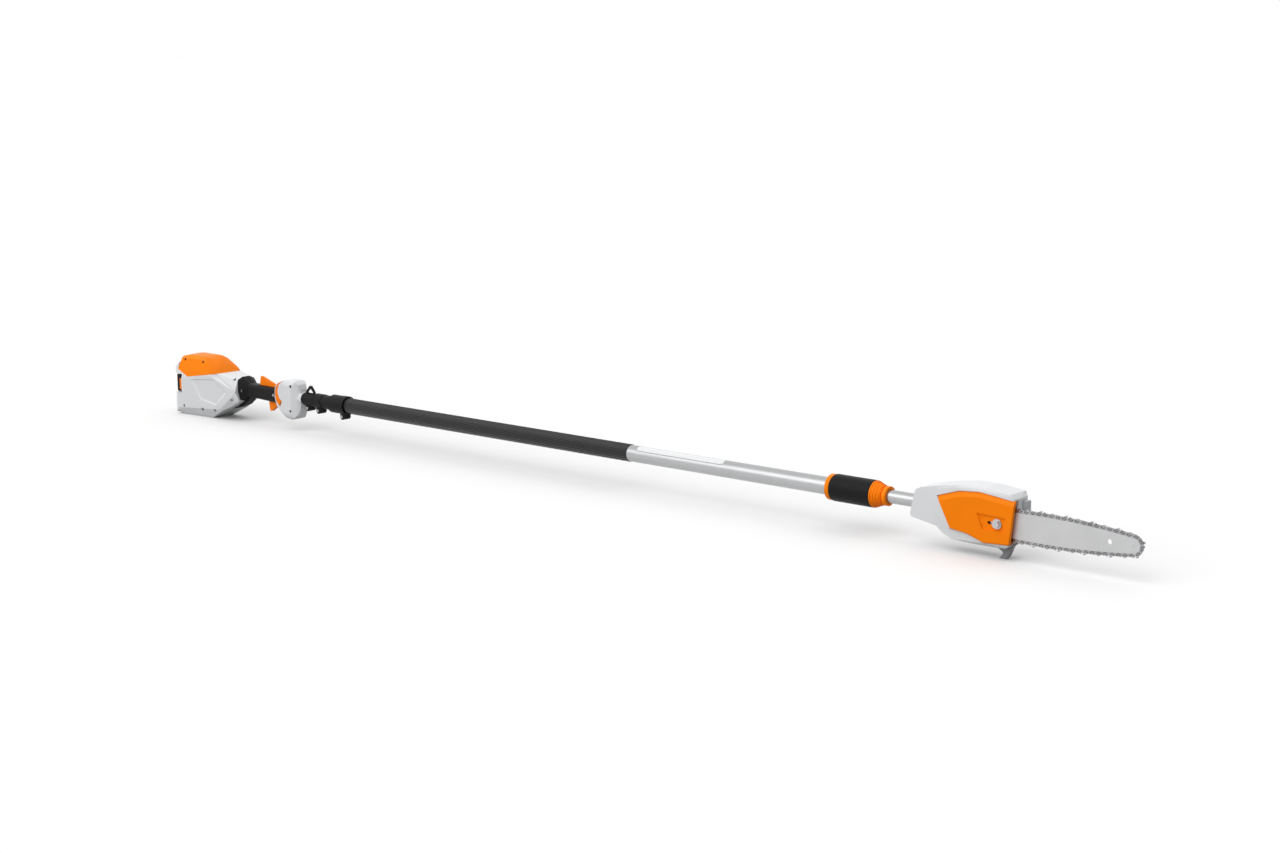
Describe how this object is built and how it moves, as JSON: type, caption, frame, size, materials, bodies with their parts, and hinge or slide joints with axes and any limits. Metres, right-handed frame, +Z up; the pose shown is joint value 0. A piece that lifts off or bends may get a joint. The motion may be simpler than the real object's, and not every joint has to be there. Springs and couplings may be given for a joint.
{
  "type": "telescoping pole saw",
  "caption": "Battery telescoping pole saw: grey and orange motor head with guide bar and chain, two-stage aluminium pole with twist lock, hand grip and battery housing",
  "frame": {"origin": "centre of the battery housing's flat base, on the floor and under the pole axis", "axes": "+X along the pole towards the cutting head, +Z up, -Y the side of the guide bar and the sprocket cover"},
  "size_m": [2.6501, 0.1, 0.1505],
  "materials": {
    "shell_grey": "light grey moulded nylon, fine grain",
    "orange_gloss": "orange moulded plastic, satin gloss",
    "orange_matte": "orange moulded plastic, matt",
    "black_plastic": "black glass-filled nylon, fine grain",
    "hose_rubber": "dark ribbed anti-slip hose",
    "grey_plastic": "grey moulded plastic",
    "board_green": "circuit board with parts",
    "tube_aluminium": "drawn and clear anodised",
    "hook_metal": "mid-grey moulded plastic",
    "tank_white": "translucent white moulded plastic",
    "steel": "bright steel, finely ground",
    "dark_steel": "blackened steel",
    "chain_steel": "oiled steel",
    "motor_iron": "laminated steel",
    "copper": "laminations with copper windings"
  },
  "bodies": {
    "handle_unit": {"housing_left": "shell_grey", "housing_right": "shell_grey", "top_cover": "orange_gloss", "housing_screws": "dark_steel", "lever_pins": "steel", "battery_contacts": "grey_plastic", "control_board": "board_green", "handle_left": "black_plastic", "handle_right": "black_plastic", "handle_screws": "steel", "control_pins": "steel", "trigger_switch": "black_plastic", "hood_left": "shell_grey", "hood_right": "shell_grey", "hood_screws": "dark_steel", "rear_tube": "tube_aluminium", "eye_clamp": "black_plastic", "middle_clamp": "black_plastic", "pole_collar": "black_plastic", "adapter_bush": "grey_plastic", "pinch_screws": "steel", "outer_tube": "tube_aluminium", "grip_hose": "hose_rubber", "lock_base": "orange_gloss", "lock_cone": "orange_gloss", "lock_collet": "grey_plastic"},
    "battery": {"battery": "black_plastic", "battery_cap": "black_plastic"},
    "battery_lever_left": {"battery_lever_left": "orange_matte"},
    "battery_lever_right": {"battery_lever_right": "orange_matte"},
    "trigger": {"trigger": "orange_matte"},
    "lockout_lever": {"lockout_lever": "orange_matte"},
    "retaining_latch": {"retaining_latch": "orange_matte"},
    "lock_grip": {"lock_grip": "black_plastic"},
    "boom": {"inner_tube": "tube_aluminium", "guide_bush": "grey_plastic", "head_near": "shell_grey", "head_far_shell": "shell_grey", "head_screws": "dark_steel", "sprocket_cover": "orange_gloss", "guide_bar": "steel", "drive_links": "chain_steel", "tie_straps": "chain_steel", "cutters": "chain_steel", "chain_rivets": "chain_steel", "nose_bearing": "steel", "motor_stator": "copper", "motor_bearings": "steel", "bar_stud": "steel", "bar_nut": "steel", "tensioner": "dark_steel", "branch_hook": "hook_metal", "oil_tank": "tank_white", "oil_pump": "grey_plastic"},
    "rotor": {"motor_rotor": "motor_iron", "rim_sprocket": "chain_steel", "sprocket_clip": "dark_steel"},
    "nose_sprocket": {"nose_sprocket": "chain_steel"},
    "oil_cap": {"oil_cap": "black_plastic"}
  },
  "joints": [
    {"name": "telescope_slide", "type": "slide", "parent": "handle_unit", "child": "boom", "axis": [1, 0, 0], "range_m": [0, 1.2]},
    {"name": "lock_grip_turn", "type": "hinge", "parent": "handle_unit", "child": "lock_grip", "pos_m": [1.953, 0, 0.078], "axis": [1, 0, 0], "range_deg": [0, 90]},
    {"name": "trigger_pull", "type": "hinge", "parent": "handle_unit", "child": "trigger", "pos_m": [0.262, 0, 0.068], "axis": [0, 1, 0], "range_deg": [0, 12], "stiffness_Nm_per_rad": 0.5},
    {"name": "lockout_press", "type": "hinge", "parent": "handle_unit", "child": "lockout_lever", "pos_m": [0.261, 0, 0.087], "axis": [0, -1, 0], "range_deg": [0, 8], "stiffness_Nm_per_rad": 0.5},
    {"name": "latch_swing", "type": "hinge", "parent": "handle_unit", "child": "retaining_latch", "pos_m": [0.306, 0, 0.083], "axis": [0, -1, 0], "range_deg": [0, 7], "stiffness_Nm_per_rad": 0.5},
    {"name": "battery_slide", "type": "slide", "parent": "handle_unit", "child": "battery", "axis": [-1, 0, 0], "range_m": [0, 0.16]},
    {"name": "battery_lever_left_swing", "type": "hinge", "parent": "handle_unit", "child": "battery_lever_left", "pos_m": [-0.025, 0.0425, 0.0755], "axis": [0, 0, -1], "range_deg": [0, 5], "stiffness_Nm_per_rad": 0.4},
    {"name": "battery_lever_right_swing", "type": "hinge", "parent": "handle_unit", "child": "battery_lever_right", "pos_m": [-0.025, -0.0425, 0.0755], "axis": [0, 0, 1], "range_deg": [0, 5], "stiffness_Nm_per_rad": 0.4},
    {"name": "sprocket_spin", "type": "hinge", "parent": "boom", "child": "rotor", "pos_m": [2.2452, 0, 0.067], "axis": [0, 1, 0], "continuous": true},
    {"name": "nose_sprocket_spin", "type": "hinge", "parent": "boom", "child": "nose_sprocket", "pos_m": [2.5472, -0.017, 0.067], "axis": [0, 1, 0], "continuous": true},
    {"name": "oil_cap_turn", "type": "hinge", "parent": "boom", "child": "oil_cap", "pos_m": [2.2912, 0.035, 0.098], "axis": [0, 1, 0], "range_deg": [0, 90]}
  ],
  "couplings": [
    {"joint": "nose_sprocket_spin", "follows": "sprocket_spin", "ratio": 0.88889}
  ]
}
